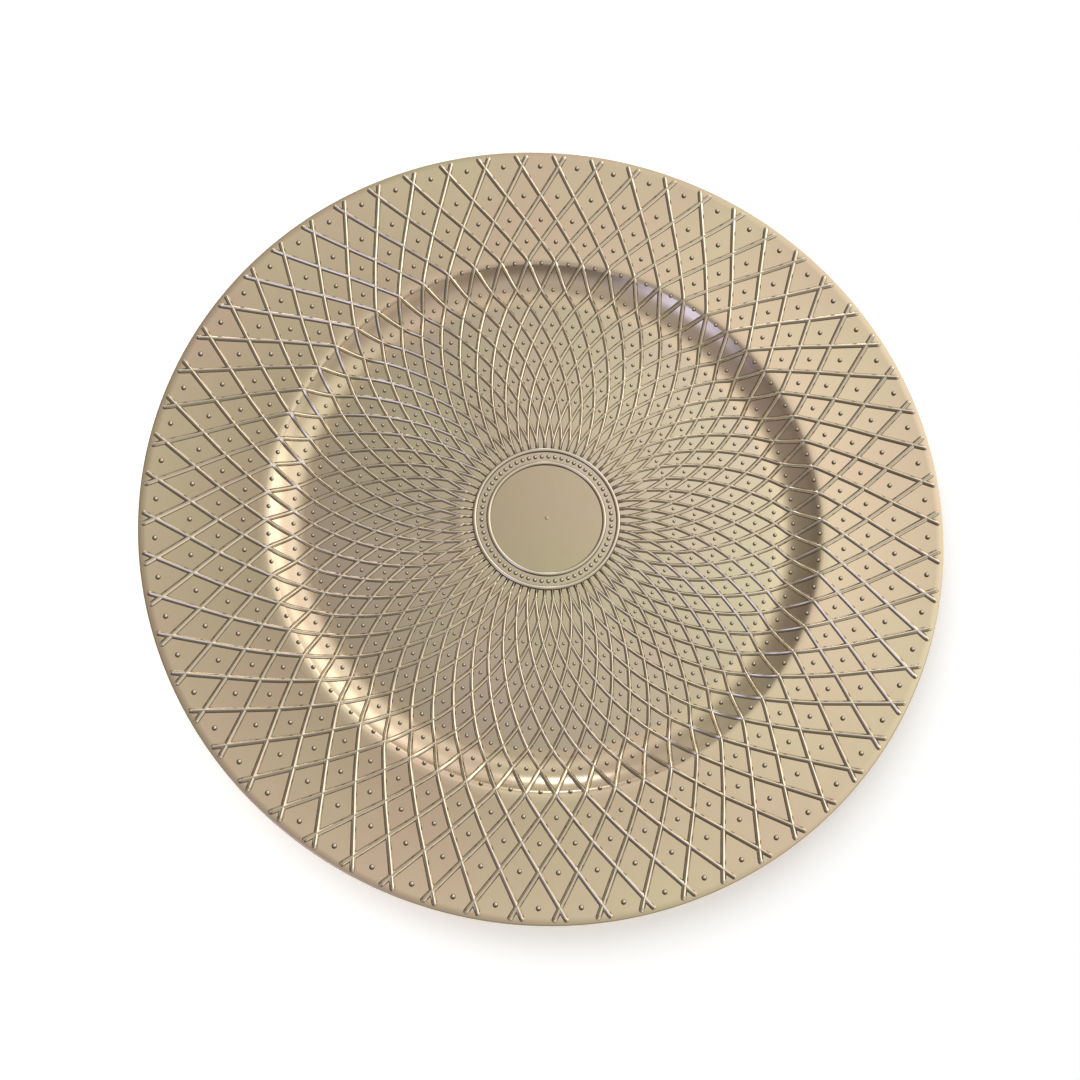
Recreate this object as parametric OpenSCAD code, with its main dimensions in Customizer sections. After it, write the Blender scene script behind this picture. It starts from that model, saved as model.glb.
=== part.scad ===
// Round charger plate: a shallow dish with a wide rim, covered by a net of
// crossing ribs with a stud in every diamond and a beaded medallion in the middle.
// Millimetres. The origin is the middle of the foot, +Z is up.

/* [Well] */
// Diameter of the flat well floor
well_d = 194; // [188:1:200]
// Thickness of the moulded wall
wall_t = 2.2; // [1.6:0.1:2.6]

/* [Foot] */
// How far the outside of the foot ring lies inside the edge of the well
foot_inset = 8; // [4:0.5:16]
// Width of the foot ring just over its rounded edges
foot_w = 3.4; // [2.6:0.1:5]
// Height of the foot ring
foot_h = 1.6; // [1.2:0.1:3]
// How far each side of the foot ring leans out towards the wall
foot_draft = 0.3; // [0.1:0.1:0.6]
// Radius on the two lower edges of the foot ring
foot_edge_r = 0.6; // [0.2:0.1:0.9]

/* [Cove and shoulder] */
// Width of the cove, from the well to the crease where it meets the rim
cove_w = 18; // [16:0.5:22]
// Height of the crease above the well floor
cove_h = 7.6; // [6:0.1:9]
// Radius of the shoulder that rounds the crease
shoulder_r = 4.5; // [3:0.1:6]

/* [Rim] */
// Width of the rim, from the crease to the outside edge
rim_w = 50; // [46:0.5:56]
// Rise of the rim from the crease to the outside edge
rim_rise = 6.7; // [5:0.1:9]
// Share of that rise that is a straight slope, the rest curves up
rim_straight_share = 0.33; // [0.2:0.01:0.6]
// Width of the edge lip below the wall
lip_w = 1.6; // [1.2:0.1:2]
// How far the lip turns down below the wall
lip_drop = 1; // [0.6:0.1:2]
// Radius on the upper outer corner of the lip
lip_top_r = 0.6; // [0.4:0.1:0.9]
// Radius on the lower outer corner of the lip
lip_low_r = 0.5; // [0.3:0.1:0.8]

/* [Ribs] */
// Number of ribs that lean each way round the plate
rib_n = 61; // [54:1:66]
// Width of a rib at the outside edge
rib_w_out = 1.8; // [1.4:0.1:2.2]
// Width of a rib at the medallion
rib_w_in = 1.2; // [0.9:0.1:1.4]
// Height of a rib at the outside edge
rib_h_out = 0.7; // [0.4:0.05:1]
// Height of a rib at the medallion
rib_h_in = 0.5; // [0.3:0.05:0.7]

/* [Studs] */
// Diameter of a stud at the outside edge
stud_d_out = 2; // [1.4:0.1:2.6]
// Diameter of a stud at the medallion
stud_d_in = 1.1; // [0.8:0.1:1.4]
// Height of a stud as a share of its diameter
stud_h_share = 0.36; // [0.2:0.01:0.5]

/* [Medallion] */
// Diameter of the outer ring, at the middle of its width
med_ring_d = 60.5; // [59.5:0.1:64]
// Width of the outer ring, and of the inner one
med_ring_w = 1.9; // [1.4:0.1:2.2]
// Width of the lane for the beads between the two rings
bead_lane_w = 4; // [3:0.1:5]
// Height of both rings
med_ring_h = 0.75; // [0.5:0.05:0.9]
// Number of beads between the rings
bead_n = 61; // [48:1:64]
// Diameter of a bead
bead_d = 1.5; // [1.2:0.1:1.8]
// Height of a bead
bead_h = 0.55; // [0.3:0.05:0.6]
// Diameter of the mark that the moulding gate leaves in the middle
gate_d = 1.6; // [1:0.1:3]
// Height of that mark
gate_h = 0.3; // [0.1:0.05:0.5]

/* [Hidden] */
$fn = 8 * rib_n;
dome_fn = 36;
arc_steps = 8;

well_r = well_d / 2;
crease_r = well_r + cove_w;
plate_r = crease_r + rim_w;
lip_in_r = plate_r - lip_top_r;
well_z = foot_h + wall_t;
med_edge_r = (med_ring_d + med_ring_w) / 2;
med_inner_d = med_ring_d - 2 * (med_ring_w + bead_lane_w);
bead_ring_r = (med_ring_d + med_inner_d) / 4;

// Places of the rings of crossings, outermost first: shares of the rim's width
// from the crease, of the cove's width from the well, and of the width from the
// medallion to the end of the well floor.
tip_share = 0.984;
rim_ring_shares = [0.87, 0.604, 0.386, 0.186];
cove_ring_share = 0.433;
well_ring_shares = [0.87, 0.74, 0.61, 0.48, 0.345, 0.20, 0.05];
// Places of the plain sections that bend a rib over the shoulder and the cove
rim_low_share = 0.05;
cove_high_share = 0.88;
cove_mid_share = 0.66;
// Place of the cove's upper studs, just below the crease
cove_stud_share = 0.967;
// The tips lie about a third of a ring further out than the outer crossings
tip_number = -0.33;

// The shoulder's arc touches the cove's arc and the rim's first slope
cove_arc_r = (pow(cove_w, 2) + pow(cove_h, 2)) / (2 * cove_h);
rim_slope = rim_rise * rim_straight_share / rim_w;
rim_a = atan(rim_slope);
both_r = cove_arc_r + shoulder_r;
over_h = cove_arc_r - cove_h + rim_slope * cove_w + shoulder_r / cos(rim_a);
shoulder_x = cos(rim_a) * (over_h * sin(rim_a) + sqrt(pow(both_r, 2) - pow(over_h * cos(rim_a), 2)));
shoulder_mid = [well_r + shoulder_x,
    well_z + cove_h + rim_slope * (shoulder_x - cove_w) - shoulder_r / cos(rim_a)];
cove_a = asin(shoulder_x / both_r);
shoulder_in_r = shoulder_mid[0] - shoulder_r * sin(cove_a);
shoulder_out_r = shoulder_mid[0] - shoulder_r * sin(rim_a);
brow_r = shoulder_mid[0] - shoulder_r * sin((cove_a + rim_a) / 2);

// Height of the upper surface over the table at radius r
function cove_z(r) = well_z + cove_arc_r - sqrt(pow(cove_arc_r, 2) - pow(r - well_r, 2));
function shoulder_z(r) = shoulder_mid[1] + sqrt(pow(shoulder_r, 2) - pow(shoulder_mid[0] - r, 2));
function rim_u(r) = (r - crease_r) / rim_w;
function rim_z(r) = well_z + cove_h
    + rim_rise * (rim_straight_share * rim_u(r) + (1 - rim_straight_share) * pow(rim_u(r), 2));
function top_z(r) = r <= well_r ? well_z : r <= shoulder_in_r ? cove_z(r)
    : r < shoulder_out_r ? shoulder_z(r) : rim_z(r);

// A level is [radius, ring number, is a crossing]. A rib turns by half a pitch
// from one ring number to the next, so a section has a ring number in between.
function rim_r(share) = crease_r + share * rim_w;
function cove_r(share) = well_r + share * cove_w;
function in_r(share) = med_edge_r + share * (well_r - med_edge_r);
function between(r, outer, inner) = (outer - r) / (outer - inner);
rim_n = len(rim_ring_shares);
foot_n = rim_n + 2;
rim_low_r = rim_r(rim_low_share);
cove_ring_r = cove_r(cove_ring_share);
rim_levels = concat(
    [[rim_r(tip_share), tip_number, false]],
    [for (k = [0 : rim_n - 1]) [rim_r(rim_ring_shares[k]), k, true]],
    [[rim_low_r, rim_n - 1 + between(rim_low_r, rim_r(rim_ring_shares[rim_n - 1]), brow_r), false]],
    [[brow_r, rim_n, true]]);
cove_levels = concat(
    [[brow_r, rim_n, true]],
    [for (s = [cove_high_share, cove_mid_share])
        [cove_r(s), rim_n + between(cove_r(s), brow_r, cove_ring_r), false]],
    [[cove_ring_r, rim_n + 1, true], [well_r, foot_n, true]]);
well_levels = concat(
    [[well_r, foot_n, true]],
    [for (k = [0 : len(well_ring_shares) - 1]) [in_r(well_ring_shares[k]), foot_n + 1 + k, true]]);

// The section of the upper surface, from the middle of the plate to the lip
function radii(levels) = [for (i = [len(levels) - 1 : -1 : 0]) levels[i][0]];
cove_radii = radii(cove_levels);
rim_radii = concat(
    [for (r = radii(rim_levels)) if (r > brow_r && r < rim_r(tip_share)) r],
    [lip_in_r]);
section = concat(
    [[0, well_z]],
    [for (r = cove_radii) [r, top_z(r)]],
    [for (r = rim_radii) [r, top_z(r)]]);
well_i = 1;
brow_i = len(cove_radii);
last_i = len(section) - 1;

// The ribs and studs sit on the straight steps of that section
function surf_z(r) = lookup(r, section);
function step_a(i) = atan2(section[i + 1][1] - section[i][1], section[i + 1][0] - section[i][0]);
function in_a(r) = r <= well_r ? 0 : max([for (i = [0 : last_i - 1])
    if (section[i][0] < r && r <= section[i + 1][0]) step_a(i)]);
function out_a(r) = r < well_r ? 0 : max([for (i = [0 : last_i - 1])
    if (section[i][0] <= r && r < section[i + 1][0]) step_a(i)]);
function mid_a(r) = (in_a(r) + out_a(r)) / 2;
function half_a(r) = (out_a(r) - in_a(r)) / 2;

// The lower surface keeps the wall's thickness and mitres each bend
function under(i) = i == 0 || i == last_i
    ? [section[i][0], section[i][1] - wall_t / cos(step_a(max(i - 1, 0)))]
    : let (mid = (step_a(i - 1) + step_a(i)) / 2, half = (step_a(i) - step_a(i - 1)) / 2)
      section[i] + wall_t / cos(half) * [sin(mid), -cos(mid)];
function under_z(r) = lookup(r, [for (i = [0 : last_i]) under(i)]);

module wall(first, last) {
    rotate_extrude()
        polygon(concat(
            [for (i = [first : last]) section[i]],
            [for (i = [last : -1 : first]) under(i)]));
}

// Points of a quarter circle, from angle from_a to a right angle further on
function quarter(middle, r, from_a) =
    [for (i = [0 : arc_steps]) let (a = from_a + 90 * i / arc_steps)
        middle + r * [cos(a), sin(a)]];

module foot_ring() {
    outer = well_r - foot_inset;
    inner = outer - foot_w;
    color("#a8946c")
        rotate_extrude()
            polygon(concat(
                [[outer + foot_draft, foot_h], [inner - foot_draft, foot_h]],
                quarter([inner + foot_edge_r, foot_edge_r], foot_edge_r, 180),
                quarter([outer - foot_edge_r, foot_edge_r], foot_edge_r, 270)));
}

module well_floor() {
    color("#b9aa87") wall(0, well_i);
}

module cove_wall() {
    color("#c9b892") wall(well_i, brow_i);
}

module rim_wall() {
    color("#c8b491") wall(brow_i, last_i);
}

// The lip closes the end of the rim and turns down below it
module edge_lip() {
    skirt_r = plate_r - lip_w;
    low_z = under_z(skirt_r) - lip_drop;
    color("#d8c49c")
        rotate_extrude()
            polygon(concat(
                [[skirt_r, under_z(skirt_r)], [skirt_r, low_z]],
                quarter([plate_r - lip_low_r, low_z + lip_low_r], lip_low_r, 270),
                quarter([lip_in_r, top_z(lip_in_r) - lip_top_r], lip_top_r, 0),
                [under(last_i)]));
}

// Sizes that run evenly from the medallion to the outside edge
function run_u(r) = (r - med_edge_r) / (plate_r - med_edge_r);
function rib_w(r) = rib_w_in + (rib_w_out - rib_w_in) * run_u(r);
function rib_h(r) = rib_h_in + (rib_h_out - rib_h_in) * run_u(r);
function stud_d(r) = stud_d_in + (stud_d_out - stud_d_in) * run_u(r);

// Angles of a crossing, and of one rib that leans way (1 or -1)
pitch_a = 360 / rib_n;
function cross_a(c, number) = pitch_a * (c + number / 2);
function rib_a(way, i, number) = pitch_a * (i + way * number / 2);

// Angle between a rib and the radius, on the step from level j to the next
function step_len(lv, j) = norm([lv[j][0] - lv[j + 1][0], surf_z(lv[j][0]) - surf_z(lv[j + 1][0])]);
function lean(lv, j) = atan((lv[j][0] + lv[j + 1][0]) / 2 * pitch_a * PI / 360
    * (lv[j + 1][1] - lv[j][1]) / step_len(lv, j));
function lean_out(lv, j) = lean(lv, max(j - 1, 0));
function lean_in(lv, j) = lean(lv, min(j, len(lv) - 2));

function on_top(r, a) = [r * cos(a), r * sin(a), surf_z(r)];
function ridge(r, a) =
    let (h = rib_h(r), m = mid_a(r), q = r - h * sin(m))
    [q * cos(a), q * sin(a), surf_z(r) + h * cos(m)];
function aside(r, w) = w / r * 180 / PI;

// Points of one level. A crossing has its ridge point, the outer, inner, lower
// and upper corners. A section has the ridge, lower and upper point of each rib.
function level_points(lv, j) =
    let (r = lv[j][0], number = lv[j][1], half_w = rib_w(r) / 2,
         out = half_w / sin(lean_out(lv, j)) * cos(out_a(r)),
         in = half_w / sin(lean_in(lv, j)) * cos(in_a(r)),
         side = aside(r, half_w / cos((lean_out(lv, j) + lean_in(lv, j)) / 2)))
    lv[j][2]
    ? [for (c = [0 : rib_n - 1]) let (a = cross_a(c, number)) each
        [ridge(r, a), on_top(r + out, a), on_top(r - in, a),
         on_top(r, a - side), on_top(r, a + side)]]
    : [for (way = [1, -1], i = [0 : rib_n - 1]) let (a = rib_a(way, i, number)) each
        [ridge(r, a), on_top(r, a - side), on_top(r, a + side)]];

// How many points lie before level j
function level_start(lv, j) =
    j == 0 ? 0 : level_start(lv, j - 1) + (lv[j - 1][2] ? 5 : 6) * rib_n;

// Point numbers [ridge, lower, upper] of one rib at level j, for the step that
// leaves the level inwards (inward true) or reaches it from outside
function rib_points(lv, j, way, i, inward) =
    let (start = level_start(lv, j),
         c = way > 0 ? i : (i + 2 * rib_n - lv[j][1]) % rib_n,
         at = start + 5 * c)
    lv[j][2]
    ? (inward
        ? (way > 0 ? [at, at + 2, at + 4] : [at, at + 3, at + 2])
        : (way > 0 ? [at, at + 3, at + 1] : [at, at + 1, at + 4]))
    : let (first = start + 3 * (i + (way > 0 ? 0 : rib_n))) [first, first + 1, first + 2];

// The two slopes and the underside of one rib on one step
function rib_faces(a, b) = [
    [a[0], a[1], b[1]], [a[0], b[1], b[0]],
    [a[2], a[0], b[0]], [a[2], b[0], b[2]],
    [a[1], a[2], b[2]], [a[1], b[2], b[1]]];
function end_face(a, outer) = outer ? [a[1], a[0], a[2]] : [a[2], a[0], a[1]];

// Faces under a crossing, and across it where a net ends there
function cross_faces(lv, j, c, root) =
    let (p = level_start(lv, j) + 5 * c, first = j == 0, last = j == len(lv) - 1)
    concat(
        first ? [] : [[p + 1, p + 4, p + 3]],
        last ? [] : [[p + 4, p + 2, p + 3]],
        first || (last && !root) ? [end_face([p, p + 3, p + 4], first)] : []);
function net_points(lv) = [for (j = [0 : len(lv) - 1]) each level_points(lv, j)];
function net_faces(lv, root) = concat(
    [for (j = [0 : len(lv) - 2], way = [1, -1], i = [0 : rib_n - 1]) each
        rib_faces(rib_points(lv, j, way, i, true), rib_points(lv, j + 1, way, i, false))],
    [for (j = [0 : len(lv) - 1], c = [0 : rib_n - 1]) if (lv[j][2]) each
        cross_faces(lv, j, c, root)],
    [for (way = [1, -1], i = [0 : rib_n - 1]) if (!lv[0][2])
        end_face(rib_points(lv, 0, way, i, true), true)]);

// The joined root of each pair of ribs, from the last crossing to the medallion
function root_points(lv) =
    let (number = lv[len(lv) - 1][1], r = med_edge_r,
         side = aside(r, rib_w(r) / 2 / cos(lean(lv, len(lv) - 2))))
    [for (c = [0 : rib_n - 1]) let (a = cross_a(c, number)) each
        [ridge(r, a), on_top(r, a - side), on_top(r, a + side)]];
function root_faces(lv) =
    let (from = level_start(lv, len(lv) - 1), to = level_start(lv, len(lv)))
    [for (c = [0 : rib_n - 1])
        let (p = from + 5 * c, q = to + 3 * c, a = [p, p + 3, p + 4], b = [q, q + 1, q + 2])
        each concat(rib_faces(a, b), [end_face(b, false)])];

module rim_ribs() {
    color("#d2be98") polyhedron(net_points(rim_levels), net_faces(rim_levels, false));
}

module cove_ribs() {
    color("#d2be98") polyhedron(net_points(cove_levels), net_faces(cove_levels, false));
}

module well_ribs() {
    color("#c6b48e")
        polyhedron(
            concat(net_points(well_levels), root_points(well_levels)),
            concat(net_faces(well_levels, true), root_faces(well_levels)));
}

// A low dome of diameter d and height h, standing on z = 0
module dome(d, h) {
    ball_r = (pow(d / 2, 2) + pow(h, 2)) / (2 * h);
    rotate_extrude($fn = dome_fn)
        intersection() {
            translate([0, h - ball_r])
                circle(ball_r, $fn = dome_fn);
            square([d, d]);
        }
}

// One ring of studs, in the diamonds whose middles are level with that ring
module stud_ring(r, number) {
    d = stud_d(r);
    for (c = [0 : rib_n - 1])
        rotate([0, 0, cross_a(c, number + 1)])
            translate([r, 0, surf_z(r) + d / 2 * tan(half_a(r))])
                rotate([0, -mid_a(r), 0])
                    dome(d, d * stud_h_share);
}

module rim_studs() {
    color("#d8c49c")
        for (k = [0 : rim_n - 1])
            stud_ring(rim_r(rim_ring_shares[k]), k);
}

module cove_studs() {
    color("#d8c49c") {
        stud_ring(cove_r(cove_stud_share), rim_n);
        stud_ring(cove_r(cove_ring_share), rim_n + 1);
    }
}

// The last two rings of diamonds, next to the medallion, are too narrow for studs
module well_studs() {
    color("#cdbb94") {
        stud_ring(well_r, foot_n);
        for (k = [0 : len(well_ring_shares) - 3])
            stud_ring(in_r(well_ring_shares[k]), foot_n + 1 + k);
    }
}

module half_round_ring(d) {
    ring_ball_r = (pow(med_ring_w / 2, 2) + pow(med_ring_h, 2)) / (2 * med_ring_h);
    rotate_extrude()
        translate([d / 2, well_z])
            intersection() {
                translate([0, med_ring_h - ring_ball_r])
                    circle(ring_ball_r, $fn = 4 * dome_fn);
                translate([-med_ring_w / 2, 0])
                    square([med_ring_w, med_ring_w]);
            }
}

module medallion_rings() {
    color("#cbb992") {
        half_round_ring(med_ring_d);
        half_round_ring(med_inner_d);
    }
}

module medallion_beads() {
    color("#d8c49c")
        for (i = [0 : bead_n - 1])
            rotate([0, 0, 360 / bead_n * i])
                translate([bead_ring_r, 0, well_z])
                    dome(bead_d, bead_h);
}

module gate_mark() {
    color("#a99973")
        translate([0, 0, well_z])
            cylinder(d = gate_d, h = gate_h);
}

foot_ring();
well_floor();
cove_wall();
rim_wall();
edge_lip();
rim_ribs();
cove_ribs();
well_ribs();
rim_studs();
cove_studs();
well_studs();
medallion_rings();
medallion_beads();
gate_mark();
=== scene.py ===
# %% [markdown]
# # A lattice charger plate
#
# A charger plate is the wide, shallow plate that stays on the table under the dinner
# plate. This one is injection moulded in one shot and then sprayed with a satin metallic
# lacquer in champagne gold. Its upper side carries a net of crossing raised ribs with a
# small stud in every diamond, and a beaded medallion in the middle.
#
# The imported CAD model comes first. It fixes the size and the place of everything, so the
# script only has to dress it. One unit in Blender is one metre.

# %% Load the frame
import math

import bpy
import bmesh
import numpy as np
from mathutils import Matrix, Vector


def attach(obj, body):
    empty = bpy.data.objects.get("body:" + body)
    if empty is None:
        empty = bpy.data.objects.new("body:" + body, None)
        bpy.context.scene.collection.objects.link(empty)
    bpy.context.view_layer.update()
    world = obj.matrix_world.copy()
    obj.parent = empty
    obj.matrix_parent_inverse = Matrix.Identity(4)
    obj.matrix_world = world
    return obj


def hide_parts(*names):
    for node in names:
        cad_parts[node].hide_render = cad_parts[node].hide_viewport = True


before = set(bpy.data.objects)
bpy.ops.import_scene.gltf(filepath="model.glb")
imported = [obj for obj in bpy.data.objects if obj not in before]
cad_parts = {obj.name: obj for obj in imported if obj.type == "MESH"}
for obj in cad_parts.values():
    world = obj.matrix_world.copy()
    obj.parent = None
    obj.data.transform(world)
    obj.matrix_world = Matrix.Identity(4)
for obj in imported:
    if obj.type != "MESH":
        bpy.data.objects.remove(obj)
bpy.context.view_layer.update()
scene = bpy.context.scene
mm = 0.001
print("nodes:", ", ".join(sorted(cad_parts)))


# %% Two small helpers
def placed(name, data):
    """A new object with this data, linked to the scene."""
    thing = bpy.data.objects.new(name, data)
    scene.collection.objects.link(thing)
    return thing


def write_on_points(data, label, values):
    """Writes one number on each point of a mesh, for a node tree to read by its label."""
    data.attributes.new(label, "FLOAT", "POINT").data.foreach_set("value", values)


# %% [markdown]
# ## The camera
#
# The outer studs stand on a circle, 61 of them. A circle seen at an angle is an ellipse,
# and its shape and place give the camera: where it stands, how far it is tipped and how
# long its lens is. The values below are that camera, worked out once and written down:
# the turn from the plate to the camera, where the middle of the circle lies as the camera
# sees it, and the height of the circle over the floor. The last turn, by half the angle
# between two studs, brings the CAD model's crossings to where they are seen.

# %% Camera
ribs_each_way = 61
pitch = math.tau / ribs_each_way
sensor = 36.0
focal_px = 1389.57
image_px = 1080
tilt = (-0.284753, -0.0701988, 0.0643249)
offset = Vector((3.80, -12.75, 569.734)) * mm
sight_z = 16.72 * mm


def turn_by(amount):
    """The turn about a vector by its length, in radians."""
    axis = Vector(amount)
    return Matrix.Rotation(axis.length, 3, axis.normalized())


to_camera = turn_by(tilt) @ Matrix.Diagonal((1, -1, -1))
place = -(to_camera.transposed() @ offset) + Vector((0, 0, sight_z))
facing = to_camera.transposed() @ Matrix.Diagonal((1, -1, -1))
half_pitch_turn = Matrix.Rotation(pitch / 2, 4, "Z")

camera = placed("camera", bpy.data.cameras.new("camera"))
camera.data.sensor_width = sensor
camera.data.lens = focal_px / image_px * sensor
camera.matrix_world = half_pitch_turn @ Matrix.Translation(place) @ facing.to_4x4()
scene.camera = camera
camera_at = [round(v, 3) for v in camera.matrix_world.translation]
print("lens", round(camera.data.lens, 1), "mm, at", camera_at)

# %% [markdown]
# ## The section of the plate
#
# A plate is turned round its middle, so one drawn section gives the whole wall. The well
# is flat, and the cove leaves it in a small arc, goes on rising in a slacker one, and bends
# the other way at the shoulder. From there the rim rises slowly and curls up towards the
# edge. The heights and widths are those of the CAD model, in millimetres; its cove has
# straight steps, and here it is round.

# %% Sizes and section
foot_h, wall_t = 1.6, 2.2
well_r, cove_w, cove_h = 97.0, 18.0, 7.6
rim_w, rim_rise, rim_straight = 50.0, 6.7, 0.33
lip_w, lip_drop, lip_top_r, lip_low_r = 1.6, 1.0, 0.6, 0.5

well_z = foot_h + wall_t
crease_r = well_r + cove_w
plate_r = crease_r + rim_w
lip_in = plate_r - lip_top_r
skirt_r = plate_r - lip_w
rim_a = math.atan(rim_rise * rim_straight / rim_w)

# Each arc of the cove: its radius, and the slopes that it runs between. The shoulder's
# radius is negative because it bends the other way.
cove_start = 100.3
low_a, steep_a = math.radians(22), math.radians(44)
cove_arcs = [(13.0, 0.0, low_a), (26.0, low_a, steep_a), (-4.5, steep_a, rim_a)]
fine_steps, shell_steps = 24, 7


def cove_points(steps):
    """Points (radius, height, slope) along the cove, this many steps to each arc."""
    points = [(cove_start, well_z, 0.0)]
    for bend_r, first, last in cove_arcs:
        r, z, _ = points[-1]
        for k in range(1, steps + 1):
            a = first + (last - first) * k / steps
            points.append((r + bend_r * (math.sin(a) - math.sin(first)),
                           z + bend_r * (math.cos(first) - math.cos(a)), a))
    return points


cove_r, cove_z, cove_slope = (np.array(column) for column in zip(*cove_points(fine_steps)))
shoulder_out = float(cove_r[-1])


def top_z(r):
    """Height of the upper surface at radius r, both in millimetres."""
    if r <= cove_start:
        return well_z
    if r < shoulder_out:
        return float(np.interp(r, cove_r, cove_z))
    u = (r - crease_r) / rim_w
    return well_z + cove_h + rim_rise * (rim_straight * u + (1 - rim_straight) * u ** 2)


def slope(r):
    """Angle of the upper surface at radius r."""
    if r <= cove_start:
        return 0.0
    if r < shoulder_out:
        return float(np.interp(r, cove_r, cove_slope))
    u = (r - crease_r) / rim_w
    return math.atan(rim_rise / rim_w * (rim_straight + 2 * (1 - rim_straight) * u))


step_up = top_z(shoulder_out) - cove_z[-1]
print("edge at", plate_r, "mm, cove meets the rim at", round(shoulder_out, 2), "mm")
print("step where they meet:", round(step_up, 3), "mm")

# %% [markdown]
# ## Turning the wall
#
# The wall is made as on a lathe: the section's points are swept round the axis and joined
# with quads. A Screw modifier could do it, but writing the loop keeps the number of steps
# a multiple of the ribs, and it closes the pole with one point. The shell is cut at the
# edge of the well, because the well takes its finish from another slot.

# %% Lathe
turn_steps = 6 * ribs_each_way
sharp_angle = math.radians(40)


def turned(name, outline):
    """A closed solid turned from an outline of (radius, height) points in millimetres.
    The outline runs anticlockwise, with the axis on its left."""
    mesh = bmesh.new()
    rings = []
    for r, z in outline:
        if r == 0:
            rings.append([mesh.verts.new((0, 0, z * mm))] * turn_steps)
            continue
        rings.append([mesh.verts.new((r * mm * math.cos(math.tau * i / turn_steps),
                                      r * mm * math.sin(math.tau * i / turn_steps), z * mm))
                      for i in range(turn_steps)])
    for k, ring in enumerate(rings):
        after = rings[(k + 1) % len(rings)]
        for i in range(turn_steps):
            j = (i + 1) % turn_steps
            corners = [ring[i], ring[j], after[j], after[i]]
            corners = [v for n, v in enumerate(corners) if v not in corners[:n]]
            if len(corners) > 2:
                mesh.faces.new(corners)
    data = bpy.data.meshes.new(name)
    bmesh.ops.recalc_face_normals(mesh, faces=mesh.faces)
    mesh.to_mesh(data)
    mesh.free()
    data.polygons.foreach_set("use_smooth", [True] * len(data.polygons))
    data.set_sharp_from_angle(angle=sharp_angle)
    return placed(name, data)


def arc(middle, r, first, last, steps):
    """Points on an arc, from the first angle to the last, in degrees."""
    angles = [math.radians(first + (last - first) * i / steps) for i in range(steps + 1)]
    return [(middle[0] + r * math.cos(a), middle[1] + r * math.sin(a)) for a in angles]


def under(r):
    """The point of the lower surface that lies one wall thickness below radius r."""
    a = slope(r)
    return (r + wall_t * math.sin(a), top_z(r) - wall_t * math.cos(a))


# %% Well, rim and foot
rim_points, well_step, skirt_gap = 20, 12, 0.3
shell_radii = [well_r] + [point[0] for point in cove_points(shell_steps)]
shell_radii += list(np.linspace(shoulder_out, lip_in, rim_points))[1:]
low_points = [under(r) for r in shell_radii if under(r)[0] < skirt_r - skirt_gap]
skirt_top = top_z(skirt_r) - wall_t / math.cos(slope(skirt_r))
low_z = skirt_top - lip_drop

rim_shell = turned("rim_shell", (
    low_points
    + [(skirt_r, skirt_top), (skirt_r, low_z)]
    + arc((plate_r - lip_low_r, low_z + lip_low_r), lip_low_r, 270, 360, 4)
    + arc((lip_in, top_z(lip_in) - lip_top_r), lip_top_r, 0, 90, 5)
    + [(r, top_z(r)) for r in reversed(shell_radii[:-1])]))

well_radii = [*range(0, int(well_r) - well_step, well_step), well_r]
well_shell = turned("well_shell", (
    [(r, well_z - wall_t) for r in well_radii] + [(r, well_z) for r in reversed(well_radii)]))

foot_inset, foot_w, foot_draft, foot_edge = 8.0, 3.4, 0.3, 0.6
foot_out = well_r - foot_inset
foot_in = foot_out - foot_w
foot_band = turned("foot_band", (
    arc((foot_in + foot_edge, foot_edge), foot_edge, 180, 270, 4)
    + arc((foot_out - foot_edge, foot_edge), foot_edge, 270, 360, 4)
    + [(foot_out + foot_draft, foot_h), (foot_in - foot_draft, foot_h)]))
print("shell", len(rim_shell.data.polygons), "faces, well", len(well_shell.data.polygons))

# %% [markdown]
# ## The net of ribs
#
# Sixty-one ribs lean one way and sixty-one the other, and they cross on fourteen rings. A
# rib turns by half a pitch from each ring to the next, so it is steep near the rim, where
# the rings are far apart. One straight blank is made first: a bar along X whose distance
# from the axis is already right, and which carries three numbers on every point: how far
# it has turned, how much it leans there, and how far across the rib the point lies.
# Geometry Nodes bend the blank, lay it on the plate with a ray from above, mirror it and
# set out the copies. Sweeping a profile along a curve would be shorter, but on the steep
# cove the profile would roll off the surface.
#
# In section a rib is a low roof on steep feet. The roof gives the long bright and dark
# bands that run along it, and the feet, with shade painted on them by the finish, give it
# the thin dark outline. The ribs are a little wider and taller here than in the CAD model,
# because the real edges are soft.

# %% Ring table and rib sizes
# Radii of the rings of crossings, from the edge inwards. The curve through them needs one
# more value past each end.
ring_radii = [158.5, 145.2, 134.3, 124.3, 115.2, 104.8, 97.0,
              88.45, 79.9, 71.3, 62.8, 53.9, 44.4, 34.5]
past_edge, past_medallion = 174.8, 24.0
last_ring = len(ring_radii) - 1
medallion_r = 31.2
rib_w_out, rib_w_in = 2.3, 1.5
rib_h_out, rib_h_in = 1.05, 0.78

# Ring numbers of the first cuts through a rib, from its tip past the outermost ring.
tip_ring = -0.33
tip_cuts = [tip_ring, tip_ring + 0.03, tip_ring + 0.09, -0.15]


def along(r):
    """0 at the medallion and 1 at the edge: ribs and studs grow evenly between."""
    return (r - medallion_r) / (plate_r - medallion_r)


def ring_radius(n):
    """Radius at ring number n, on a smooth curve through the table."""
    table = [past_edge] + ring_radii + [past_medallion]
    k = min(max(math.floor(n), 0), last_ring - 1)
    t = n - k
    a, b, c, d = table[k:k + 4]
    return b + t * (c - a) / 2 + t ** 2 * (a - 2.5 * b + 2 * c - d / 2) + t ** 3 * (
        1.5 * (b - c) + (d - a) / 2)


print("tips at", round(ring_radius(tip_ring), 2), "mm")

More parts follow.
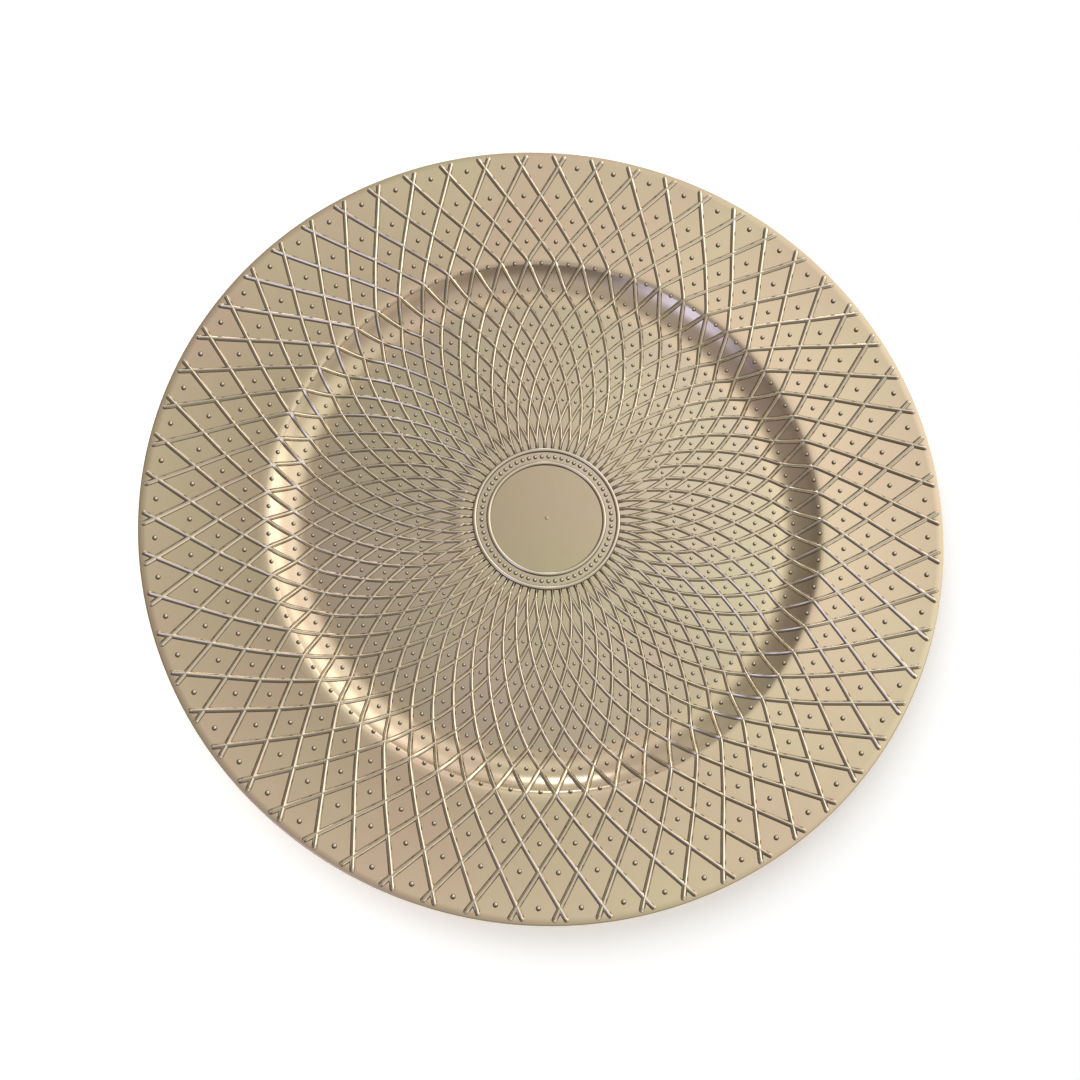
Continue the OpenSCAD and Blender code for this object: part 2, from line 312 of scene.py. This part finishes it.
# %% Rib blank
# Points across a rib, as shares of half its width and of its height. Beyond 1 the sides go
# on a little way into the wall, so that no gap shows.
rib_profile = [(-1.06, -0.1), (-1.0, 0.0), (-0.86, 0.36), (-0.14, 0.92), (0, 1.0),
               (0.14, 0.92), (0.86, 0.36), (1.0, 0.0), (1.06, -0.1)]
cuts_per_ring = 5
tip_share = 0.35


def rib_cuts(to_medallion):
    """Cuts (radius, ring number) along one rib, closer together at its tip."""
    count = cuts_per_ring * last_ring
    numbers = tip_cuts + [last_ring * i / count for i in range(count + 1)]
    cuts = [(ring_radius(n), n) for n in numbers]
    if to_medallion:
        cuts.append((medallion_r, last_ring))
    return cuts


def rib_blank(name, to_medallion):
    """A closed straight bar along X, with its three numbers written on its points."""
    cuts = rib_cuts(to_medallion)
    points, turns, leans, across, faces = [], [], [], [], []
    for k, (r, n) in enumerate(cuts):
        before, after = cuts[max(k - 1, 0)], cuts[min(k + 1, len(cuts) - 1)]
        lean = math.atan2(r * pitch / 2 * (after[1] - before[1]), before[0] - after[0])
        # The tip is blunt: its first cut is small and the third has the full section.
        bulge = math.sqrt(1 - (1 - min(k, 2) / 2) ** 2)
        full = tip_share + (1 - tip_share) * bulge
        half_w = (rib_w_in + (rib_w_out - rib_w_in) * along(r)) / 2 * full
        height = (rib_h_in + (rib_h_out - rib_h_in) * along(r)) * full
        for side, up in rib_profile:
            points.append((r * mm, side * half_w * mm, up * height * mm))
            turns.append(n * pitch / 2)
            leans.append(-lean)
            across.append(abs(side))
    width = len(rib_profile)
    for k in range(len(cuts) - 1):
        this, following = k * width, (k + 1) * width
        for i in range(width):
            j = (i + 1) % width
            faces.append((this + i, this + j, following + j, following + i))
    faces.append(tuple(range(width))[::-1])
    faces.append(tuple((len(cuts) - 1) * width + i for i in range(width)))
    data = bpy.data.meshes.new(name)
    data.from_pydata(points, [], faces)
    for label, values in (("turn", turns), ("lean", leans), ("across", across)):
        write_on_points(data, label, values)
    return placed(name, data)


# At the innermost crossing one rib runs on to the medallion and the other ends in it.
long_blank = rib_blank("long_blank", True)
short_blank = rib_blank("short_blank", False)
print("one rib has", len(long_blank.data.polygons), "faces")

# %% [markdown]
# ## Writing a node tree
#
# A tree is easier to read when each node takes one call. The helper "add" makes a node,
# sets its options, and fills its sockets, either with a value or with a link from another
# node's output. The ones after it do what the trees do often: arithmetic on numbers or on
# vectors, a turn about the plate's axis, and reading what is written on the points.

# %% Node helpers
def outputs(node):
    """The node's outputs that are in use."""
    return [s for s in node.outputs if s.enabled]


def add(tree, kind, *fills, **options):
    """Adds a node. Fills are given in the order of its sockets that are in use; None
    leaves one alone. An output socket is linked and anything else is a value."""
    node = tree.nodes.new(kind)
    for key, value in options.items():
        setattr(node, key, value)
    sockets = [s for s in node.inputs if s.enabled]
    for socket, fill in zip(sockets, fills):
        if isinstance(fill, bpy.types.NodeSocket):
            tree.links.new(fill, socket)
        elif fill is not None:
            socket.default_value = fill
    return node


def number(tree, operation, *fills):
    """The result of one step of arithmetic on numbers."""
    return outputs(add(tree, "ShaderNodeMath", *fills, operation=operation))[0]


def vector(tree, operation, *fills, **options):
    """The result of one step of arithmetic on vectors."""
    return outputs(add(tree, "ShaderNodeVectorMath", *fills, operation=operation, **options))[0]


def turned_about_axis(tree, spot, angle):
    """A position turned about the plate's axis."""
    return add(tree, "ShaderNodeVectorRotate", spot, None, angle, rotation_type="Z_AXIS").outputs[0]


def written(tree, label, kind="FLOAT"):
    """What is written on the points under a label."""
    return outputs(add(tree, "GeometryNodeInputNamedAttribute", label, data_type=kind))[0]


def geometry_of(tree, thing):
    """The geometry of an object that the tree is given."""
    return add(tree, "GeometryNodeObjectInfo", thing).outputs["Geometry"]


def new_tree(name, inputs):
    """An empty Geometry Nodes tree with a geometry input and the named inputs."""
    tree = bpy.data.node_groups.new(name, "GeometryNodeTree")
    tree.interface.new_socket("Geometry", in_out="INPUT", socket_type="NodeSocketGeometry")
    for label, kind in inputs:
        tree.interface.new_socket(label, in_out="INPUT", socket_type="NodeSocket" + kind)
    tree.interface.new_socket("Geometry", in_out="OUTPUT", socket_type="NodeSocketGeometry")
    return tree, add(tree, "NodeGroupInput").outputs


def finish_tree(tree, geometry, material):
    """Ends a tree: real mesh, smooth faces, material, output."""
    real = add(tree, "GeometryNodeRealizeInstances", geometry)
    smooth = add(tree, "GeometryNodeSetShadeSmooth", real.outputs[0])
    painted = add(tree, "GeometryNodeSetMaterial", smooth.outputs[0], None, material)
    add(tree, "NodeGroupOutput", painted.outputs[0])


def grown(name, seed, tree, values):
    """Runs the tree on the seed object, and returns the result as a plain mesh piece."""
    modifier = seed.modifiers.new("grow", "NODES")
    modifier.node_group = tree
    for item in tree.interface.items_tree:
        if item.in_out == "INPUT" and item.name in values:
            modifier[item.identifier] = values[item.name]
    bpy.context.view_layer.update()
    grown_seed = seed.evaluated_get(bpy.context.evaluated_depsgraph_get())
    data = bpy.data.meshes.new_from_object(grown_seed)
    data.name = name
    bpy.data.objects.remove(seed)
    return placed(name, data)


# %% [markdown]
# ## Laying things on the plate
#
# The ray needs something to hit. A thin form with the plate's upper surface only, and
# nothing else, serves as the target: it is turned from the same section, and it is thrown
# away when the last piece has been laid on it. Its normals are written on its points, so
# that a ray reads a smooth normal and not that of one flat face.

# %% Form
def seat_form():
    """The bare upper surface, with its normals written on its points."""
    radii = well_radii[1:] + shell_radii[1:] + [plate_r]
    points, normals, faces = [], [], []
    for r in radii:
        tip = slope(min(r, lip_in))
        for i in range(turn_steps):
            a = math.tau * i / turn_steps
            points.append((r * mm * math.cos(a), r * mm * math.sin(a), top_z(r) * mm))
            normals += [-math.sin(tip) * math.cos(a), -math.sin(tip) * math.sin(a), math.cos(tip)]
    for k in range(len(radii) - 1):
        first, second = k * turn_steps, (k + 1) * turn_steps
        for i in range(turn_steps):
            j = (i + 1) % turn_steps
            faces.append((first + i, second + i, second + j, first + j))
    data = bpy.data.meshes.new("seat_form")
    data.from_pydata(points, [], faces)
    on_points = data.attributes.new("seat normal", "FLOAT_VECTOR", "POINT")
    on_points.data.foreach_set("vector", normals)
    return placed("seat_form", data)


form = seat_form()
ray_start, ray_length = 0.1, 1.0
print("form", len(form.data.polygons), "faces")


def drop(tree, target, position):
    """The place on the target below a position, and the normal there."""
    flat = vector(tree, "MULTIPLY", position, (1, 1, 0))
    above = vector(tree, "ADD", flat, (0, 0, ray_start))
    ray = add(tree, "GeometryNodeRaycast", geometry_of(tree, target),
              written(tree, "seat normal", "FLOAT_VECTOR"), above, (0, 0, -1), ray_length,
              data_type="FLOAT_VECTOR")
    found = {s.name: s for s in outputs(ray)}
    return found["Hit Position"], found["Attribute"]


# %% Rib tree
def rib_tree(material):
    """Bends the blank, lays it on the plate, and sets out the copies."""
    tree, given = new_tree("rib net", [("Form", "Object"), ("Ribs", "Int"), ("Way", "Float")])
    # The bar's middle line turns with the rib, and its width turns and leans.
    turn = number(tree, "MULTIPLY", written(tree, "turn"), given["Way"])
    lean = number(tree, "MULTIPLY", written(tree, "lean"), given["Way"])
    at = add(tree, "GeometryNodeInputPosition").outputs[0]
    parts = add(tree, "ShaderNodeSeparateXYZ", at).outputs
    out = add(tree, "ShaderNodeCombineXYZ", parts[0]).outputs[0]
    aside = add(tree, "ShaderNodeCombineXYZ", None, parts[1]).outputs[0]
    out = turned_about_axis(tree, out, turn)
    aside = turned_about_axis(tree, aside, number(tree, "ADD", turn, lean))
    seat, normal = drop(tree, given["Form"], vector(tree, "ADD", out, aside))
    lift = vector(tree, "SCALE", normal, parts[2])
    spot = vector(tree, "ADD", seat, lift)
    laid = add(tree, "GeometryNodeSetPosition", given["Geometry"], None, spot).outputs[0]

    spots = add(tree, "GeometryNodePoints", given["Ribs"], (0, 0, 0)).outputs[0]
    index = add(tree, "GeometryNodeInputIndex").outputs[0]
    step = number(tree, "DIVIDE", math.tau, given["Ribs"])
    angle = number(tree, "MULTIPLY", index, step)
    angles = add(tree, "ShaderNodeCombineXYZ", None, None, angle).outputs[0]
    rotation = add(tree, "FunctionNodeEulerToRotation", angles).outputs[0]
    copies = add(tree, "GeometryNodeInstanceOnPoints", spots, None, laid, None, None, rotation)
    finish_tree(tree, copies.outputs[0], material)
    return tree


# %% [markdown]
# ## Studs and beads
#
# Every stud is the same low dome in another size, so one tree seats them all. Its seed is
# a mesh of loose points, one for each ring of studs, which carry that ring's diameter and
# its turn. The tree copies each point round the plate, drops it on the wall, and stands a
# dome on it along the wall's normal. The beads of the medallion come from the same tree
# with another seed.

# %% Dome
# The dome has a diameter of 1, and its foot goes on a little way into the wall. How far
# across it a point lies is 0 at the crest and 1 at the foot, times a reach. A reach above 1
# takes the shade that the finish paints at the foot further up the side.
dome_r, dome_rows = 0.5, 4
dome_foot = (0.54, -0.06)
dome_reach = 1.3


def dome_mesh(name, sides, height_share):
    """A low dome in a few dozen faces, which carries how far across each point lies."""
    quarter = [math.radians(90 * k / dome_rows) for k in range(dome_rows)]
    outline = [dome_foot] + [
        (dome_r * math.cos(a), height_share * math.sin(a)) for a in quarter]
    points = [(r * math.cos(math.tau * i / sides), r * math.sin(math.tau * i / sides), z)
              for r, z in outline for i in range(sides)]
    points.append((0, 0, height_share))
    faces = [(k * sides + i, k * sides + (i + 1) % sides, (k + 1) * sides + (i + 1) % sides,
              (k + 1) * sides + i)
             for k in range(len(outline) - 1) for i in range(sides)]
    last = (len(outline) - 1) * sides
    faces += [(last + i, last + (i + 1) % sides, len(points) - 1) for i in range(sides)]
    faces.append(tuple(range(sides))[::-1])
    data = bpy.data.meshes.new(name)
    data.from_pydata(points, [], faces)
    across = [math.hypot(x, y) / dome_r * dome_reach for x, y, z in points]
    write_on_points(data, "across", across)
    return placed(name, data)


def stud_tree(material):
    """Seats a dome on the plate at every copy of every seed point."""
    tree, given = new_tree("seated domes", [("Form", "Object"), ("Dome", "Object"),
                                            ("Around", "Int")])
    points = add(tree, "GeometryNodeMeshToPoints", given["Geometry"], mode="VERTICES").outputs[0]
    copies = add(tree, "GeometryNodeDuplicateElements", points, None, given["Around"],
                 domain="POINT")
    index = copies.outputs["Duplicate Index"]
    step = number(tree, "DIVIDE", math.tau, given["Around"])
    angle = number(tree, "MULTIPLY_ADD", index, step, written(tree, "turn"))
    at = add(tree, "GeometryNodeInputPosition").outputs[0]
    plan = turned_about_axis(tree, at, angle)
    moved = add(tree, "GeometryNodeSetPosition", copies.outputs["Geometry"], None, plan).outputs[0]
    seat, normal = drop(tree, given["Form"], at)
    seated = add(tree, "GeometryNodeSetPosition", moved, None, seat).outputs[0]
    upright = add(tree, "FunctionNodeAlignRotationToVector", None, None, normal, axis="Z")
    domes = add(tree, "GeometryNodeInstanceOnPoints", seated, None,
                geometry_of(tree, given["Dome"]), None, None, upright.outputs[0],
                written(tree, "size"))
    finish_tree(tree, domes.outputs[0], material)
    return tree


def point_seed(name, rows):
    """Loose points from rows of (radius, turn, diameter), which carry turn and size."""
    radii, turns, diameters = zip(*rows)
    data = bpy.data.meshes.new(name)
    data.from_pydata([(r * mm, 0, 0) for r in radii], [], [])
    write_on_points(data, "turn", turns)
    write_on_points(data, "size", [d * mm for d in diameters])
    return placed(name, data)


# %% [markdown]
# ## The finish
#
# The coat is a solvent lacquer with fine aluminium flakes and a little gold dye, sprayed
# on moulded plastic. The flakes make it a metal to the eye, and the binder between them
# keeps it satin: it shows where the light is, and never a sharp picture. Sprayed by hand,
# it is a touch uneven from one palm's width to the next. The plastic below gives it a
# faint waviness. Each of these is one noise at a size of its own. Into the corner at the
# foot of a rib, a stud or a ring, shade is painted in as a dark brown, and the coat is
# made rougher there.

# %% Colours and coordinates
# Clouds are what the spray gun's passes leave, and waves are the moulding's. The flake is
# coarser than real flake, so that it shows at all.
cloud_size, wave_size, flake_size = 60 * mm, 9 * mm, 0.6 * mm
wave_depth, grain_depth, grain_strength = 0.045 * mm, 0.008 * mm, 0.5
flake_share = 0.45
tone_range = (0.5, 0.95)
flake_low, flake_high = 0.3, 0.7
smoother, rougher = 0.04, 0.05

# How far across a rib the painted shade at its foot begins and where it is darkest, how
# much of the painted brown then shows, and how much rougher the coat is there.
foot_shade_from, foot_shade_full = 0.6, 0.98
foot_shade_most, foot_shade_rougher = 0.8, 0.4
# A dark brown, painted into the corner at the foot of the relief as shade.
painted_foot_shade = "#6f6049"
disc_r = 23.9 * mm


def srgb(hex_code):
    """A hex colour as the linear values that the shader needs."""
    parts = [int(hex_code[i:i + 2], 16) / 255 for i in (1, 3, 5)]
    return [p / 12.92 if p <= 0.04045 else ((p + 0.055) / 1.055) ** 2.4 for p in parts] + [1.0]


def noise(tree, here, size, detail):
    """A noise whose grains are about as wide as the size."""
    return add(tree, "ShaderNodeTexNoise", here, 1 / size, detail).outputs[0]


# %% Lacquer
def champagne_lacquer(name, light, dark, roughness, disc_shade=None):
    """Satin metallic lacquer on moulded plastic, from the two tones that it drifts between,
    with shade painted dark brown into the feet of the relief. A disc shade, when given, is
    painted over the medallion's disc, which comes out darker and a little yellower."""
    material = bpy.data.materials.new(name)
    material.use_nodes = True
    tree = material.node_tree
    shader = tree.nodes["Principled BSDF"]
    shader.inputs["Metallic"].default_value = 1.0
    here = add(tree, "ShaderNodeTexCoord").outputs["Object"]

    # Pinker where the coat is thin and greener where it is thick.
    clouds = noise(tree, here, cloud_size, 2.0)
    flakes = noise(tree, here, flake_size, 1.0)
    mixed = number(tree, "MULTIPLY_ADD", flakes, flake_share, clouds)
    tones = add(tree, "ShaderNodeValToRGB", mixed)
    for stop, position, tone in zip(tones.color_ramp.elements, tone_range, (dark, light)):
        stop.position = position
        stop.color = srgb(tone)

    # Painted shade at the feet of the relief, where the distance across is near 1: a dark brown
    # is mixed into the colour there.
    across = add(tree, "ShaderNodeAttribute", attribute_name="across").outputs["Fac"]
    thin = add(tree, "ShaderNodeMapRange", across, foot_shade_from, foot_shade_full, 0.0, foot_shade_most,
               interpolation_type="SMOOTHSTEP").outputs[0]
    shaded_feet = add(tree, "ShaderNodeMix", thin, tones.outputs["Color"], srgb(painted_foot_shade),
               data_type="RGBA")
    colour = outputs(shaded_feet)[0]
    if disc_shade:
        # The disc inside the medallion's rings is painted a shade darker and yellower, as shade.
        on_disc = number(tree, "LESS_THAN", vector(tree, "LENGTH", here), disc_r)
        shaded_disc = add(tree, "ShaderNodeMix", on_disc, colour, srgb(disc_shade), data_type="RGBA",
                     blend_type="MULTIPLY")
        colour = outputs(shaded_disc)[0]
    tree.links.new(colour, shader.inputs["Base Color"])

    rough = add(tree, "ShaderNodeMapRange", flakes, flake_low, flake_high, roughness - smoother,
                roughness + rougher)
    dull = number(tree, "MULTIPLY_ADD", thin, foot_shade_rougher, rough.outputs[0])
    tree.links.new(dull, shader.inputs["Roughness"])

    waves = noise(tree, here, wave_size, 1.0)
    wavy = add(tree, "ShaderNodeBump", 1.0, wave_depth, None, waves)
    grain = add(tree, "ShaderNodeBump", grain_strength, grain_depth, None, flakes, wavy.outputs[0])
    tree.links.new(grain.outputs[0], shader.inputs["Normal"])
    return material


# The rim, the well and the relief take copies of the one coat in three tones: the well's is painted
# a shade darker than the rim's, as painted shade, and the relief's is painted lighter, as painted
# highlight on the ribs, studs, rings and beads.
rim_lacquer = champagne_lacquer("champagne lacquer on the rim", "#dfd3af", "#e1c8b0", 0.11)
# The well's last tone is the shade painted over the medallion's disc.
well_lacquer_shaded = champagne_lacquer("champagne lacquer in the well, painted darker", "#d2caa9", "#d6c4b2", 0.11,
                                 "#f4f2ea")
relief_lacquer_lit_and_shaded = champagne_lacquer("champagne lacquer on the relief", "#f3e8d1", "#ebdfc7", 0.09)
back_lacquer = champagne_lacquer("thin champagne lacquer underneath", "#cbb795", "#bfab88", 0.35)

# %% Grow the ribs, studs and beads
net_tree = rib_tree(relief_lacquer_lit_and_shaded)
ribs_long = grown("ribs_long", long_blank, net_tree,
                  {"Form": form, "Ribs": ribs_each_way, "Way": 1.0})
ribs_short = grown("ribs_short", short_blank, net_tree,
                   {"Form": form, "Ribs": ribs_each_way, "Way": -1.0})

# A stud's height is a share of its diameter. At the crease the studs stand a little inside
# the ring of crossings.
stud_d_out, stud_d_in, stud_share = 2.2, 1.2, 0.6
crease_stud_ring = 114.4
stud_rings = ring_radii[:4] + [crease_stud_ring] + ring_radii[5:12]
stud_rows = [(r, pitch * (n + 1) / 2, stud_d_in + (stud_d_out - stud_d_in) * along(r))
             for n, r in enumerate(stud_rings)]
seating_tree = stud_tree(relief_lacquer_lit_and_shaded)
stud_dome = dome_mesh("stud_dome", sides=10, height_share=stud_share)
studs = grown("studs", point_seed("stud_seed", stud_rows), seating_tree,
              {"Form": form, "Dome": stud_dome, "Around": ribs_each_way})

bead_d, bead_h, bead_ring, bead_count = 1.8, 0.85, 27.3, 61
bead_dome = dome_mesh("bead_dome", sides=12, height_share=bead_h / bead_d)
beads = grown("beads", point_seed("bead_seed", [(bead_ring, 0.0, bead_d)]), seating_tree,
              {"Form": form, "Dome": bead_dome, "Around": bead_count})
print("faces of the long ribs", len(ribs_long.data.polygons))
print("faces of the studs", len(studs.data.polygons))

# %% Medallion rings and the gate mark
# Raised things start a little below the floor of the well, so that no gap shows. The reach
# is for the rings what it is for the domes.
sunk = 0.1
band_w, band_h, band_reach, band_steps = 1.9, 0.95, 1.15, 8
outer_band_r, inner_band_r = 30.25, 24.35


def raised_ring(name, r):
    """A turned ring with a round back, with the distance from its crest on its points."""
    half_w = band_w / 2
    ring = turned(name, [(r - half_w, well_z - sunk), (r + half_w, well_z - sunk)] + [
        (r + half_w * math.cos(a), well_z + band_h * math.sin(a))
        for a in np.linspace(0, math.pi, band_steps + 1)])
    across = [abs(math.hypot(v.co.x, v.co.y) / mm - r) / half_w * band_reach
              for v in ring.data.vertices]
    write_on_points(ring.data, "across", across)
    return ring


outer_band = raised_ring("outer_band", outer_band_r)
inner_band = raised_ring("inner_band", inner_band_r)

gate_r, gate_top_r = 0.8, 0.6
gate_side, gate_edge, gate_h = 0.15, 0.28, 0.3
gate_nub = turned("gate_nub", [(0, well_z - sunk), (gate_r, well_z - sunk),
                               (gate_r, well_z + gate_side), (gate_top_r, well_z + gate_edge),
                               (0, well_z + gate_h)])


def joined(name, parts):
    """One piece from several, in their common frame."""
    mesh = bmesh.new()
    for part in parts:
        mesh.from_mesh(part.data)
    data = bpy.data.meshes.new(name)
    mesh.to_mesh(data)
    mesh.free()
    for part in parts:
        bpy.data.objects.remove(part)
    return placed(name, data)


medallion = joined("medallion_bands", [outer_band, inner_band])
lattice = joined("rib_net", [ribs_long, ribs_short])
for spent in (form, stud_dome, bead_dome):
    bpy.data.objects.remove(spent)

# %% [markdown]
# ## Handing the pieces to the frame
#
# Each piece rides on the plate's one body and takes its material, and the CAD solids that
# it stands for are hidden.

# %% Ride, hide, paint
pieces = [
    (rim_shell, rim_lacquer, "lacquer_rim", ["rim_wall", "cove_wall", "edge_lip"]),
    (well_shell, well_lacquer_shaded, "lacquer_well", ["well_floor"]),
    (gate_nub, well_lacquer_shaded, "lacquer_well", ["gate_mark"]),
    (foot_band, back_lacquer, "lacquer_back", ["foot_ring"]),
    (lattice, relief_lacquer_lit_and_shaded, "lacquer_relief", ["rim_ribs", "cove_ribs", "well_ribs"]),
    (studs, relief_lacquer_lit_and_shaded, "lacquer_relief", ["rim_studs", "cove_studs", "well_studs"]),
    (medallion, relief_lacquer_lit_and_shaded, "lacquer_relief", ["medallion_rings"]),
    (beads, relief_lacquer_lit_and_shaded, "lacquer_relief", ["medallion_beads"]),
]
for piece, material, slot, nodes in pieces:
    piece.data.materials.clear()
    piece.data.materials.append(material)
    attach(piece, "root")
    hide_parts(*nodes)
    print(piece.name, len(piece.data.polygons), "faces")

# %% [markdown]
# ## Floor and light
#
# Metal has no colour of its own until it has something to reflect, so the room matters as
# much as the lacquer. Here the room is the world: a dim warm ground with a dozen soft glows
# in it, each with a direction, a width and a level. Bright windows stand low at the back
# and on the right and the left is dark, which makes every rib light on one side and brown
# on the other. Three pale glows stand higher, in front, where the far side of the cove
# looks. The level part of the plate mirrors what is overhead, and there one broad soft box
# hangs close above on the right, because a light that is near changes across the plate,
# which no world can do. A small bluish window in front shows only in the cove.
#
# The floor is white paper. It has a soft light of its own from the back left, which the
# metal doesn't mirror, and this light gives the plate its shadow at the lower right. It
# also glows a little to the camera and in the metal, without lighting anything, so that
# it comes out white.

# %% Floor
floor_z = -0.1 * mm
floor_half = 3
paper_level = 0.56
floor_mesh = bpy.data.meshes.new("floor")
floor_corners = [(floor_half * x, floor_half * y, floor_z)
                 for x, y in ((-1, -1), (1, -1), (1, 1), (-1, 1))]
floor_mesh.from_pydata(floor_corners, [], [(0, 1, 2, 3)])
floor = placed("floor", floor_mesh)

paper = bpy.data.materials.new("white paper")
paper.use_nodes = True
paper_tree = paper.node_tree
paper_tree.nodes.clear()
ray_kinds = add(paper_tree, "ShaderNodeLightPath").outputs
seen = number(paper_tree, "MAXIMUM", ray_kinds["Is Camera Ray"], ray_kinds["Is Glossy Ray"])
seen = number(paper_tree, "MAXIMUM", seen, ray_kinds["Is Transmission Ray"])
paper_white = number(paper_tree, "MULTIPLY", seen, paper_level)
paper_glow = add(paper_tree, "ShaderNodeEmission", srgb("#ffffff"), paper_white)
paper_face = add(paper_tree, "ShaderNodeBsdfDiffuse", srgb("#f4f4f4"))
paper_mix = add(paper_tree, "ShaderNodeAddShader", paper_glow.outputs[0], paper_face.outputs[0])
add(paper_tree, "ShaderNodeOutputMaterial", paper_mix.outputs[0])
floor_mesh.materials.append(paper)


# %% Room
def pointing(azimuth, zenith):
    """A direction from its compass angle and its angle from straight up, in degrees."""
    azimuth, zenith = math.radians(azimuth), math.radians(zenith)
    return Vector((math.sin(zenith) * math.cos(azimuth), math.sin(zenith) * math.sin(azimuth),
                   math.cos(zenith)))


# Each glow: its compass angle and its angle from straight up, how narrow it is, its level,
# where 1 is the white of paper, and its colour.
room_glows = [
    ("window at the back", 93, 72, 260.0, 3.4, "#f4f2ff"),
    ("first window on the right", 25, 73, 24.0, 1.7, "#fdf8f4"),
    ("second window on the right", 58, 73, 30.0, 1.5, "#fdf8f4"),
    ("lit wall in front on the right", 322, 76, 18.0, 0.5, "#fff6ea"),
    ("back of the room", 91, 76, 5.0, 0.6, "#ffffff"),
    ("right wall", 353, 98, 3.5, 0.55, "#ffffff"),
    ("ceiling", 81, 17, 10.0, 0.10, "#fffbea"),
    ("left of the room", 185, 48, 9.0, 0.18, "#f4f0ff"),
    ("overhead", 270, 5, 12.0, 0.085, "#eef0ff"),
    ("front of the room", 273, 36, 26.0, 0.27, "#eef0ff"),
    ("front of the room, left", 238, 36, 26.0, 0.20, "#eef0ff"),
    ("front of the room, right", 308, 36, 26.0, 0.20, "#eef0ff"),
]
room_ground = (0.13, 0.11, 0.09)

world = bpy.data.worlds.new("room")
scene.world = world
world.use_nodes = True
room = world.node_tree
room.nodes.clear()
looking = add(room, "ShaderNodeTexCoord").outputs["Generated"]
total = room_ground
for label, azimuth, zenith, narrow, level, hex_code in room_glows:
    facing_it = vector(room, "DOT_PRODUCT", looking, pointing(azimuth, zenith))
    fall = number(room, "MULTIPLY_ADD", facing_it, narrow, -narrow)
    tint = [c * level for c in srgb(hex_code)[:3]]
    glow = vector(room, "SCALE", tint, number(room, "EXPONENT", fall), label=label)
    total = vector(room, "ADD", total, glow)
background = add(room, "ShaderNodeBackground", total, 1.0)
add(room, "ShaderNodeOutputWorld", background.outputs[0])
print("room with", len(room_glows), "glows")


# %% Lamps
def soft_lamp(name, where, aim, size, level, fade_r, hex_code):
    """A square area lamp whose light fades from its middle outwards. The level is the
    brightness of its middle, where 1 is the white of paper."""
    data = bpy.data.lights.new(name, "AREA")
    data.size = size
    data.energy = level * math.pi * size ** 2
    lamp = placed(name, data)
    lamp.location = where
    lamp.rotation_euler = (Vector(aim) - Vector(where)).to_track_quat("-Z", "Y").to_euler()
    data.use_nodes = True
    tree = data.node_tree
    tree.nodes.clear()
    spot = add(tree, "ShaderNodeNewGeometry").outputs["Position"]
    away = vector(tree, "DISTANCE", spot, Vector(where))
    share = number(tree, "MULTIPLY", away, 1 / fade_r)
    square = number(tree, "MULTIPLY", share, share)
    fade = number(tree, "EXPONENT", number(tree, "MULTIPLY", square, -1.0))
    shine = add(tree, "ShaderNodeEmission", srgb(hex_code), fade)
    add(tree, "ShaderNodeOutputLight", shine.outputs[0])
    return lamp


box = soft_lamp("soft box on the right", where=(0.375, 0.31, 0.667), aim=(0.375, 0.31, 0),
                size=1.8, level=0.87, fade_r=0.44, hex_code="#ffffff")
blue = soft_lamp("bluish window in front", where=(-0.158, -0.222, 0.28), aim=(0.05, 0.1, 0.01),
                 size=0.4, level=1.6, fade_r=0.09, hex_code="#c0c8ff")
shade = soft_lamp("soft light on the paper", where=(-2.0, 2.0, 4.8), aim=(0, 0, 0),
                  size=5.0, level=3.0, fade_r=40.0, hex_code="#ffffff")

# The room, the box and the window are for the metal only, and the third lamp is for the
# paper only.
for lamp in (box, blue):
    lamp.visible_diffuse = False
shade.visible_glossy = False
shade.visible_transmission = False
world.cycles_visibility.diffuse = False
scene.view_settings.view_transform = "Standard"
